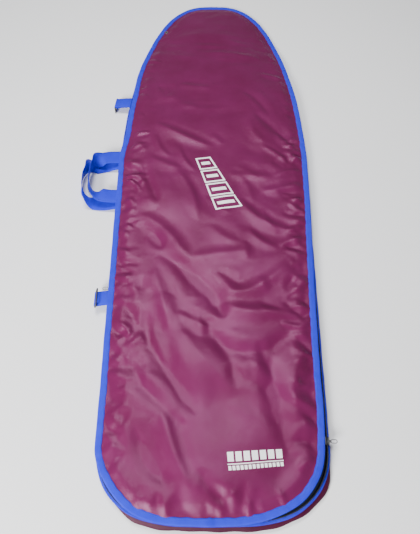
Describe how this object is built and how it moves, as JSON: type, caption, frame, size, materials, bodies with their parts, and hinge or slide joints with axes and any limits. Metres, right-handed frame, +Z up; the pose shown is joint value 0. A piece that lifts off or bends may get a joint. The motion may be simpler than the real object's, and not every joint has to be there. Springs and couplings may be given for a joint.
{
  "type": "board bag",
  "caption": "Flat padded zip-up travel bag for a board, with rounded nose, squared tail, bound edges, side carry handles and shoulder-strap rings.",
  "frame": {"origin": "on the ground under the middle of the bag's length and width, in the flat underside of the bottom panel", "axes": "+Y runs along the bag to the rounded nose, +Z is up through the lid, and the handles are on the -X side"},
  "size_m": [0.6419, 1.709, 0.053],
  "materials": {
    "shell_fabric": "woven maroon polyester with a soft sheen",
    "lining": "plain grey woven lining",
    "foam": "matte closed-cell foam",
    "binding_tape": "ribbed blue binding tape",
    "webbing": "ribbed blue polypropylene webbing",
    "zip_tape": "black woven zip tape",
    "zip_coil": "black nylon coil",
    "zip_metal": "dull grey die-cast metal",
    "eyelet_metal": "pressed nickel-plated eyelet",
    "ring_plastic": "moulded black plastic"
  },
  "bodies": {
    "base": {"bottom_shell": "shell_fabric", "bottom_foam": "foam", "bottom_lining": "lining", "bottom_binding": "binding_tape", "side_gusset": "shell_fabric", "gusset_binding": "binding_tape", "zip_tape_lower": "zip_tape", "zip_coil_lower": "zip_coil", "zip_stop_left": "zip_metal", "zip_stop_right": "zip_metal", "nose_shell": "shell_fabric", "nose_foam": "foam", "nose_lining": "lining", "nose_binding": "binding_tape", "vent_eyelet": "eyelet_metal", "vent_washer": "eyelet_metal"},
    "lid": {"lid_shell": "shell_fabric", "lid_foam": "foam", "lid_lining": "lining", "lid_binding": "binding_tape", "zip_tape_upper": "zip_tape", "zip_coil_upper": "zip_coil", "strap_tab_front": "webbing", "strap_tab_rear": "webbing"},
    "slider_left": {"slider_left": "zip_metal"},
    "pull_left": {"pull_left": "zip_metal"},
    "slider_right": {"slider_right": "zip_metal"},
    "pull_right": {"pull_right": "zip_metal"},
    "ring_front": {"strap_ring_front": "ring_plastic"},
    "ring_rear": {"strap_ring_rear": "ring_plastic"},
    "handle_upper": {"handle_upper": "webbing"},
    "handle_lower": {"handle_lower": "webbing"}
  },
  "joints": [
    {"name": "lid_open", "type": "hinge", "parent": "base", "child": "lid", "pos_m": [0, 0.49, 0.0345], "axis": [-1, 0, 0], "range_deg": [0, 150]},
    {"name": "slider_left_run", "type": "slide", "parent": "base", "child": "slider_left", "axis": [-0.0289, 0.9996, 0], "range_m": [-0.36, 0.405]},
    {"name": "pull_left_swing", "type": "hinge", "parent": "slider_left", "child": "pull_left", "pos_m": [-0.25958, -0.32201, 0.0186], "axis": [0, 0, 1], "range_deg": [-60, 60]},
    {"name": "slider_right_run", "type": "slide", "parent": "base", "child": "slider_right", "axis": [0.0289, 0.9996, 0], "range_m": [0, 0.77]},
    {"name": "pull_right_swing", "type": "hinge", "parent": "slider_right", "child": "pull_right", "pos_m": [0.24899, -0.68801, 0.0186], "axis": [0, 0, 1], "range_deg": [-60, 60]},
    {"name": "ring_front_swing", "type": "hinge", "parent": "lid", "child": "ring_front", "pos_m": [-0.30394, 0.33156, 0.0185], "axis": [0.0848, 0.9964, 0], "range_deg": [-70, 230]},
    {"name": "ring_rear_swing", "type": "hinge", "parent": "lid", "child": "ring_rear", "pos_m": [-0.2884, -0.35287, 0.02], "axis": [-0.0289, 0.9996, 0], "range_deg": [-250, 30]},
    {"name": "handle_upper_lift", "type": "hinge", "parent": "lid", "child": "handle_upper", "pos_m": [-0.27173, 0.03194, 0.026], "axis": [-0.0289, 0.9996, 0], "range_deg": [0, 100]},
    {"name": "handle_lower_drop", "type": "hinge", "parent": "base", "child": "handle_lower", "pos_m": [-0.27141, 0.02094, 0.0112], "axis": [-0.0289, 0.9996, 0], "range_deg": [-70, 0]}
  ]
}
